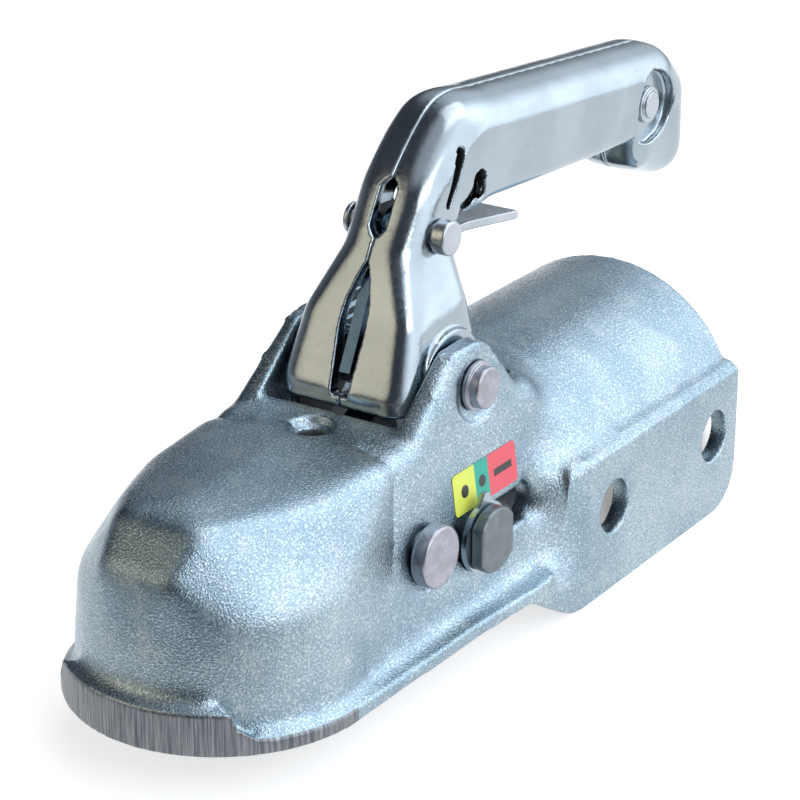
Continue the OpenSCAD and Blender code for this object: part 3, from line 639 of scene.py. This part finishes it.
# ---------------------------------------------------------------- springs
def helix(x, y, z, radius, axis, length, turns, steps=28):
    """The middle line of a coil that starts at a point and winds along X or Y."""
    points = []
    for i in range(int(turns * steps) + 1):
        t = i / steps
        angle = TAU * t
        along = length * t / turns
        if axis == "X":
            points.append((x + along, y + radius * math.cos(angle), z + radius * math.sin(angle)))
        else:
            points.append((x + radius * math.cos(angle), y + along, z + radius * math.sin(angle)))
    return points


coil = tube("main_coil", helix(-90.2, 0, -3.6, 4.4, "X", 48.0, 11), 0.9, DARK, "housing",
            ("main_spring",))
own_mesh(coil)
tube("catch_coil", helix(CATCH[0], 5.1, CATCH[1], 3.5, "Y", 3.2, 2.6) + [(-80, 8.3, 79.5), (-86, 8.3, 79.5)],
     0.55, DARK, "lever", ("catch_spring",))


# ---------------------------------------------------------------- label
# The ends of the label and the borders of its green field, in millimetres
LABEL_REAR, GREEN_REAR, GREEN_FRONT, LABEL_FRONT = -80.4, -67.9, -61.9, -52.4
LABEL_LOW, LABEL_HEIGHT = 16.6, 10.4
HALF_UP = LABEL_HEIGHT / 2
LABEL_MID = LABEL_LOW + HALF_UP
# How far the film and the marks on it stand off the wall, and how thick they are
FILM_OUT, FILM_THICK = 0.02, 0.12
MARK_OUT, MARK_THICK = 0.13, 0.05


def on_label(x, up, out):
    """A point on the leaning wall: x along it, up its slope from the label's lower edge."""
    base = Vector((x, wall_y(LABEL_MID), LABEL_MID))
    slope = Vector((0, -math.sin(DRAFT), math.cos(DRAFT))) * (up - HALF_UP)
    return (base + slope + Vector((0, math.cos(DRAFT), math.sin(DRAFT))) * out) * MM


def label_patch(name, outline, material, out=FILM_OUT, thick=FILM_THICK, replaced=()):
    count = len(outline)
    vertices = [on_label(x, up, out) for x, up in outline]
    vertices += [on_label(x, up, out + thick) for x, up in outline]
    faces = [tuple(range(count)), tuple(range(count, 2 * count))[::-1]]
    faces += [(i, (i + 1) % count, count + (i + 1) % count, count + i) for i in range(count)]
    weld(add_piece(name, vertices, faces, material, "housing", replaced, smooth=False))


def round_ends(x_round, x_straight, up, r=1.1, steps=6):
    """A field of the label with its two corners at x_round rounded."""
    side = math.copysign(1, x_round - x_straight)
    points = [(x_straight, 0)]
    for middle, start in (((x_round - side * r, r), -90), ((x_round - side * r, up - r), 0)):
        for i in range(steps + 1):
            angle = math.radians(start + 90 * i / steps)
            points.append((middle[0] + side * r * math.cos(angle), middle[1] + r * math.sin(angle)))
    return points + [(x_straight, up)]


def disc_outline(x, up, r, count=24):
    return [(x + r * math.cos(TAU * i / count), up + r * math.sin(TAU * i / count)) for i in range(count)]


def box_outline(x0, x1, up0, up1):
    return [(x0, up0), (x1, up0), (x1, up1), (x0, up1)]


label_patch("label_yellow_field", round_ends(LABEL_FRONT, GREEN_FRONT, LABEL_HEIGHT), YELLOW,
            replaced=("status_label",))
label_patch("label_green_field", box_outline(GREEN_REAR, GREEN_FRONT, 0, LABEL_HEIGHT), GREEN)
label_patch("label_red_field", round_ends(LABEL_REAR, GREEN_REAR, LABEL_HEIGHT), RED)
label_patch("label_dot", disc_outline(-57.2, HALF_UP, 1.6), INK, MARK_OUT, MARK_THICK)
label_patch("label_ring_disc", disc_outline(-64.9, HALF_UP, 1.5), INK, MARK_OUT, MARK_THICK)
label_patch("label_bar", box_outline(-78.2, -70.2, 4.3, 6.1), INK, MARK_OUT, MARK_THICK)


# ---------------------------------------------------------------- floor and light
# The floor lies just under the CAD: its height in millimetres and half its side in metres
FLOOR_LEVEL, FLOOR_HALF = -23.3, 6.0
FLOOR_PALE, FLOOR_GLOW = 0.28, 0.7
# What is left of that in the painted soft shadow under the drawbar end and far out in front
SHADOW_PALE, SHADOW_GLOW, FRONT_SHARE = 0.22, 0.3, 0.36


def weighted(tree, x, x_share, y, y_share):
    return calc(tree, "ADD", calc(tree, "MULTIPLY", x, x_share), calc(tree, "MULTIPLY", y, y_share))


def add_floor():
    size, level = FLOOR_HALF, FLOOR_LEVEL * MM
    corners = [(-size, -size, level), (size, -size, level), (size, size, level), (-size, size, level)]
    mesh = bpy.data.meshes.new("floor")
    mesh.from_pydata(corners, [], [(0, 1, 2, 3)])
    floor = bpy.data.objects.new("floor", mesh)
    SCENE.collection.objects.link(floor)
    material, tree, shader, place = new_material("floor_white", 0.8, 0.0)
    shader.inputs["Specular IOR Level"].default_value = 0.1
    shader.inputs["Emission Color"].default_value = (1, 1, 1, 1)
    axes = add_node(tree, "ShaderNodeSeparateXYZ", {0: place})
    x, y = axes.outputs[0], axes.outputs[1]
    # It is pale round the object and falls off to grey beyond two lines in front, outside the photo
    front = weighted(tree, x, 0.82, y, -0.57)
    near = weighted(tree, x, 0.79, y, 0.61)
    pale = calc(tree, "MULTIPLY", ramp(tree, front, 58 * MM, 150 * MM, 1.0, FRONT_SHARE),
                ramp(tree, near, 52 * MM, 160 * MM, 1.0, FRONT_SHARE))
    # The painted soft shadow is a slanted patch under and behind the drawbar end: 0 inside it, 1 beyond
    slanted = calc(tree, "ADD", x, calc(tree, "MULTIPLY", calc(tree, "SUBTRACT", 35 * MM, y), 1.44))
    along = calc(tree, "ABSOLUTE", calc(tree, "ADD", slanted, 150 * MM))
    across = calc(tree, "ABSOLUTE", calc(tree, "SUBTRACT", y, 3 * MM))
    beyond = calc(tree, "MAXIMUM", ramp(tree, along, 20 * MM, 44 * MM), ramp(tree, across, 10 * MM, 29 * MM))
    shade = calc(tree, "ADD", calc(tree, "MULTIPLY", beyond, FLOOR_PALE), SHADOW_PALE)
    shade = calc(tree, "MULTIPLY", pale, shade)
    tone = add_node(tree, "ShaderNodeCombineColor", {0: shade, 1: shade, 2: shade}).outputs[0]
    tree.links.new(tone, shader.inputs["Base Color"])
    # What is seen or mirrored of the floor has a glow besides
    path = add_node(tree, "ShaderNodeLightPath").outputs
    shown = calc(tree, "MAXIMUM", path["Is Glossy Ray"], path["Is Transmission Ray"])
    shown = calc(tree, "MAXIMUM", path["Is Camera Ray"], shown)
    # The glow is dimmed in the painted shadow as well
    glow = calc(tree, "MULTIPLY", ramp(tree, beyond, 0, 1, SHADOW_GLOW, 1.0), pale)
    glow = calc(tree, "MULTIPLY", glow, shown)
    tree.links.new(calc(tree, "MULTIPLY", glow, FLOOR_GLOW), shader.inputs["Emission Strength"])
    mesh.materials.append(material)


def add_area(name, place, size, power):
    data = bpy.data.lights.new(name, "AREA")
    data.shape, data.size, data.size_y = "RECTANGLE", size[0], size[1]
    data.energy = power
    lamp = bpy.data.objects.new(name, data)
    SCENE.collection.objects.link(lamp)
    lamp.location = place
    lamp.rotation_euler = (Vector(LAMP_TARGET) - Vector(place)).to_track_quat("-Z", "Y").to_euler()


# Broad lobes of light: direction, cosines where each starts and is full, colour and strength
LOBES = (
    # A large soft box on the side with the indicator, and a lower one behind it
    ((-0.35, 0.85, 0.35), 0.35, 0.90, (0.93, 0.98, 1.04), 1.75),
    ((-0.75, 0.60, -0.20), 0.86, 0.985, (0.86, 0.95, 1.06), 0.45),
    # The ceiling, toward the drawbar end and over the dome
    ((-0.75, 0.05, 0.66), 0.60, 0.97, (0.90, 0.98, 1.06), 0.95),
    ((0.25, 0.10, 1.0), 0.85, 0.99, (0.93, 0.98, 1.05), 0.6),
    # A warm lamp that the front of the lever and of the dome mirror
    ((0.78, -0.50, 0.40), 0.86, 0.985, (1.0, 0.85, 0.62), 1.2),
    # Faint light from the front, low down, and from the far side
    ((0.55, 0.80, -0.25), 0.70, 0.98, (0.90, 0.97, 1.05), 0.36),
    ((0.0, -0.85, -0.45), 0.60, 0.98, (0.92, 0.97, 1.05), 0.24),
)
# The light between the lobes, and where the lamps look, in metres
AMBIENT = (0.07, 0.08, 0.095)
LAMP_TARGET = (-0.07, 0, 0.03)


def add_sky():
    """A soft studio round the object, as lobes of light by direction."""
    world = bpy.data.worlds.new("studio")
    SCENE.world = world
    world.use_nodes = True
    tree = world.node_tree
    tree.nodes.clear()
    way = add_node(tree, "ShaderNodeTexCoord").outputs["Generated"]
    total = AMBIENT
    for direction, low, high, colour, power in LOBES:
        facing = add_node(tree, "ShaderNodeVectorMath", {0: way, 1: tuple(Vector(direction).normalized())},
                          operation="DOT_PRODUCT").outputs["Value"]
        amount = ramp(tree, facing, low, high, 0, power)
        lobe = add_node(tree, "ShaderNodeVectorMath", {0: colour, "Scale": amount}, operation="SCALE")
        total = vector_math(tree, "ADD", total, lobe.outputs[0])
    studio = add_node(tree, "ShaderNodeBackground", {0: total, 1: 1.0})
    out = add_node(tree, "ShaderNodeOutputWorld")
    tree.links.new(studio.outputs[0], out.inputs["Surface"])


add_floor()
add_sky()
add_area("key", (0.35, 0.9, 0.75), (0.6, 0.4), 2)
add_area("ceiling", (-0.35, 0.1, 1.1), (0.8, 0.6), 2)
SCENE.view_settings.view_transform = "Standard"
